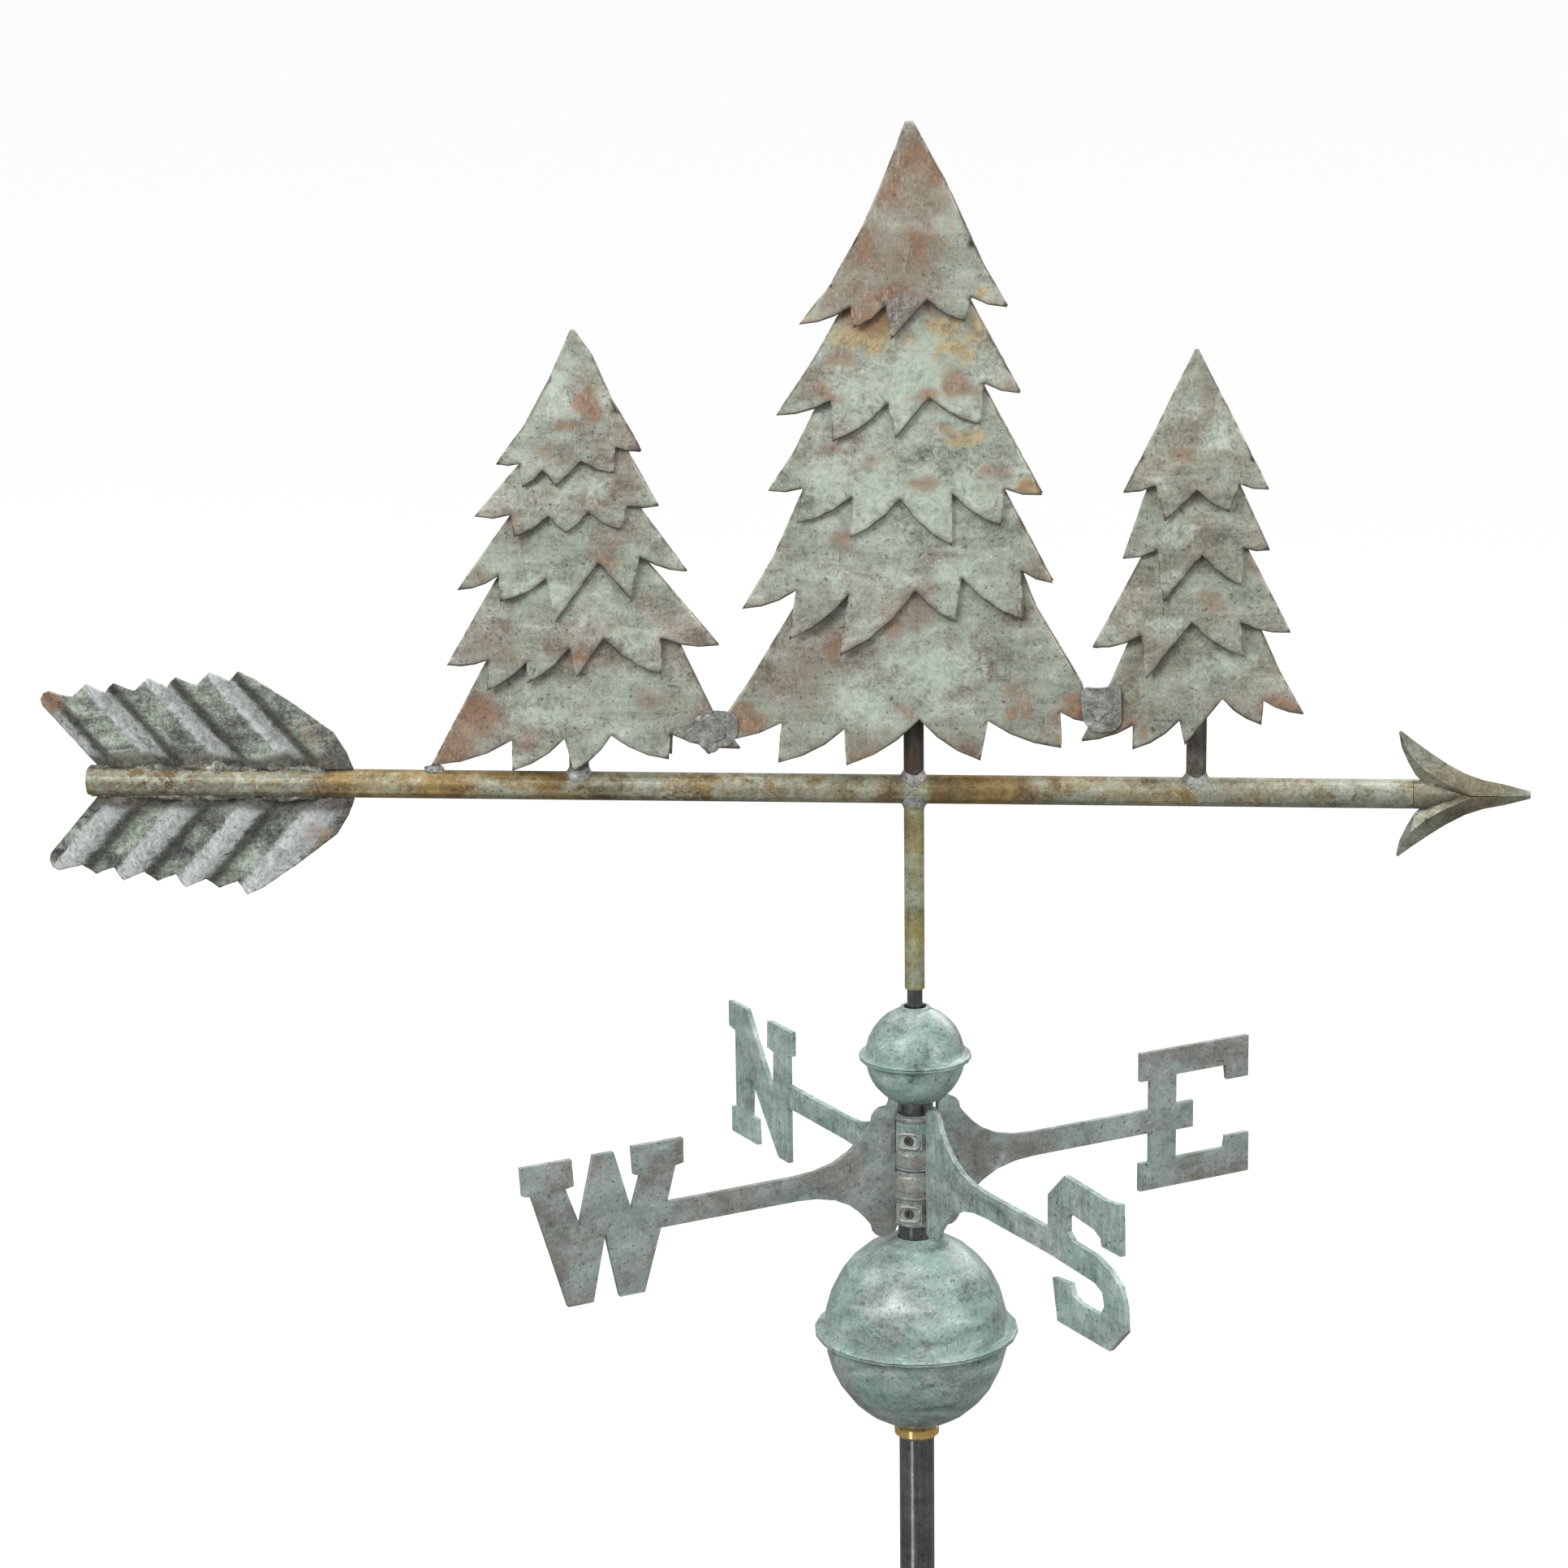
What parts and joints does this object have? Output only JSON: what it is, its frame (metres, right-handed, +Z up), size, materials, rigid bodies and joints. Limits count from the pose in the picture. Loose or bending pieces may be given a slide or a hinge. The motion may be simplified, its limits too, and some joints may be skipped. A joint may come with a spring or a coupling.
{
  "type": "weather vane",
  "caption": "Arrow weather vane carrying a group of stepped pine trees, turning on a pole with spun globes and cast N, E, S, W compass directionals.",
  "frame": {"origin": "centre of the pole's foot", "axes": "+Z up along the pole and spindle, +X along the arrow from its tail to its head, -Y the side the front tree sheets face"},
  "size_m": [0.8257, 0.3658, 1.043],
  "materials": {
    "black_pole_steel": "black satin paint",
    "verdigris_globe_copper": "teal verdigris patina on copper",
    "verdigris_tree_copper": "grey-green and brown patina on copper",
    "browned_tube_copper": "browned gold patina on copper",
    "grey_feather_copper": "grey patina on copper",
    "cast_directional_brass": "grey and mint patina on cast brass",
    "bright_ring_brass": "polished"
  },
  "bodies": {
    "mast": {"pole": "black_pole_steel", "spindle_bushing": "black_pole_steel", "spindle": "black_pole_steel", "pivot_ball": "black_pole_steel", "small_globe_upper_shell": "verdigris_globe_copper", "small_globe_lower_shell": "verdigris_globe_copper", "large_globe_upper_shell": "verdigris_globe_copper", "large_globe_lower_shell": "verdigris_globe_copper", "globe_ring": "bright_ring_brass"},
    "directionals": {"north_south": "cast_directional_brass", "east_west": "cast_directional_brass", "north_south_set_screw": "black_pole_steel", "east_west_set_screw": "black_pole_steel"},
    "vane": {"bearing_tube": "browned_tube_copper", "thrust_plug": "bright_ring_brass", "arrow_tube": "browned_tube_copper", "left_tree_post": "browned_tube_copper", "right_tree_post": "browned_tube_copper", "arrow_head": "cast_directional_brass", "upper_tail_feather": "grey_feather_copper", "lower_tail_feather": "grey_feather_copper", "left_link_plate": "grey_feather_copper", "right_link_plate": "grey_feather_copper", "left_tree_tier_1_front": "verdigris_tree_copper", "left_tree_tier_1_back": "verdigris_tree_copper", "left_tree_tier_2_front": "verdigris_tree_copper", "left_tree_tier_2_back": "verdigris_tree_copper", "left_tree_tier_3_front": "verdigris_tree_copper", "left_tree_tier_3_back": "verdigris_tree_copper", "left_tree_tier_4_front": "verdigris_tree_copper", "left_tree_tier_4_back": "verdigris_tree_copper", "left_tree_tier_5_front": "verdigris_tree_copper", "left_tree_tier_5_back": "verdigris_tree_copper", "big_tree_tier_1_front": "verdigris_tree_copper", "big_tree_tier_1_back": "verdigris_tree_copper", "big_tree_tier_2_front": "verdigris_tree_copper", "big_tree_tier_2_back": "verdigris_tree_copper", "big_tree_tier_3_front": "verdigris_tree_copper", "big_tree_tier_3_back": "verdigris_tree_copper", "big_tree_tier_4_front": "verdigris_tree_copper", "big_tree_tier_4_back": "verdigris_tree_copper", "big_tree_tier_5_front": "verdigris_tree_copper", "big_tree_tier_5_back": "verdigris_tree_copper", "right_tree_tier_1_front": "verdigris_tree_copper", "right_tree_tier_1_back": "verdigris_tree_copper", "right_tree_tier_2_front": "verdigris_tree_copper", "right_tree_tier_2_back": "verdigris_tree_copper", "right_tree_tier_3_front": "verdigris_tree_copper", "right_tree_tier_3_back": "verdigris_tree_copper", "right_tree_tier_4_front": "verdigris_tree_copper", "right_tree_tier_4_back": "verdigris_tree_copper"}
  },
  "joints": [
    {"name": "vane_spin", "type": "hinge", "parent": "mast", "child": "vane", "pos_m": [0, 0, 0.68], "axis": [0, 0, 1], "continuous": true},
    {"name": "directionals_align", "type": "hinge", "parent": "mast", "child": "directionals", "pos_m": [0, 0, 0.4617], "axis": [0, 0, 1], "continuous": true}
  ]
}
